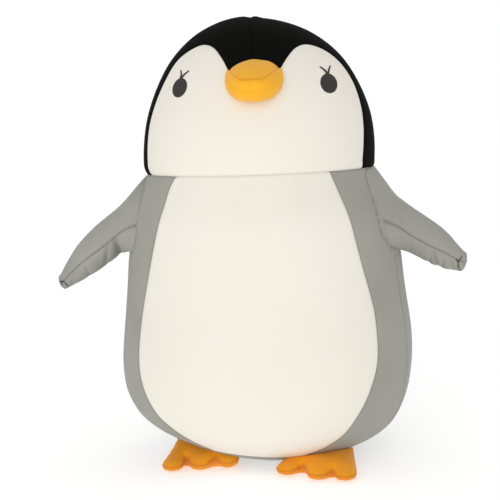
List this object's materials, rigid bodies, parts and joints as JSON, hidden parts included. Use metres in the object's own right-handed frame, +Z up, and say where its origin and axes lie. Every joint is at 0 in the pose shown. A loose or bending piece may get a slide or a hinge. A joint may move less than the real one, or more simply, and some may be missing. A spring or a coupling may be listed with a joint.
{
  "type": "plush penguin",
  "caption": "Soft stuffed penguin that stands on its flat base, with sprung head, flippers and feet.",
  "frame": {"origin": "centre of the flat base, on the surface it stands on", "axes": "+Z up through the crown, face along -Y, +X is the penguin's own left"},
  "size_m": [0.3291, 0.2017, 0.35],
  "materials": {
    "white_stretch_cloth": "smooth brushed stretch knit, soft satin sheen",
    "black_stretch_cloth": "smooth stretch knit, matte with a faint sheen",
    "grey_stretch_cloth": "fine jersey knit, matte",
    "orange_stretch_cloth": "smooth stretch knit, matte",
    "beak_stretch_cloth": "smooth stretch knit, matte",
    "eye_patch_cloth": "flat heat-pressed print film, matte",
    "dark_thread": "twisted polyester thread",
    "bead_filling": "foam beads with fibre, rough",
    "liner_cloth": "thin plain-woven bag cloth",
    "label_satin": "blank satin ribbon, slight gloss"
  },
  "bodies": {
    "torso": {"belly_panel": "white_stretch_cloth", "side_panel_left": "grey_stretch_cloth", "side_panel_right": "grey_stretch_cloth", "back_panel_left": "grey_stretch_cloth", "back_panel_right": "grey_stretch_cloth", "base_panel": "grey_stretch_cloth", "body_liner_bag": "liner_cloth", "body_bead_filling": "bead_filling", "care_label": "label_satin"},
    "head": {"face_panel": "white_stretch_cloth", "hood_panel_left": "black_stretch_cloth", "hood_panel_right": "black_stretch_cloth", "head_liner_bag": "liner_cloth", "head_bead_filling": "bead_filling", "eye_left": "eye_patch_cloth", "eye_right": "eye_patch_cloth", "upper_beak_panel": "beak_stretch_cloth", "lower_beak_panel": "beak_stretch_cloth", "beak_filling": "bead_filling"},
    "flipper_left": {"flipper_upper_panel_left": "grey_stretch_cloth", "flipper_under_panel_left": "grey_stretch_cloth", "flipper_filling_left": "bead_filling", "flipper_tip_tack_left": "dark_thread"},
    "foot_left": {"foot_top_panel_left": "orange_stretch_cloth", "foot_sole_panel_left": "orange_stretch_cloth", "foot_filling_left": "bead_filling"},
    "flipper_right": {"flipper_upper_panel_right": "grey_stretch_cloth", "flipper_under_panel_right": "grey_stretch_cloth", "flipper_filling_right": "bead_filling", "flipper_tip_tack_right": "dark_thread"},
    "foot_right": {"foot_top_panel_right": "orange_stretch_cloth", "foot_sole_panel_right": "orange_stretch_cloth", "foot_filling_right": "bead_filling"}
  },
  "joints": [
    {"name": "head_turn", "type": "hinge", "parent": "torso", "child": "head", "pos_m": [0, 0, 0.227], "axis": [0, 0, 1], "range_deg": [-12, 12], "stiffness_Nm_per_rad": 1.5},
    {"name": "flipper_left_lift", "type": "hinge", "parent": "torso", "child": "flipper_left", "pos_m": [0.1155, -0.011, 0.19], "axis": [0, -1, 0], "range_deg": [-10, 50], "stiffness_Nm_per_rad": 0.12},
    {"name": "flipper_right_lift", "type": "hinge", "parent": "torso", "child": "flipper_right", "pos_m": [-0.1155, -0.011, 0.19], "axis": [0, 1, 0], "range_deg": [-8, 55], "stiffness_Nm_per_rad": 0.12},
    {"name": "foot_left_fold", "type": "hinge", "parent": "torso", "child": "foot_left", "pos_m": [0.053, -0.044, 0.003], "axis": [0.9659, -0.2588, 0], "range_deg": [-2, 25], "stiffness_Nm_per_rad": 0.3},
    {"name": "foot_right_fold", "type": "hinge", "parent": "torso", "child": "foot_right", "pos_m": [-0.053, -0.044, 0.003], "axis": [0.9936, 0.1132, 0], "range_deg": [-2, 25], "stiffness_Nm_per_rad": 0.3}
  ]
}
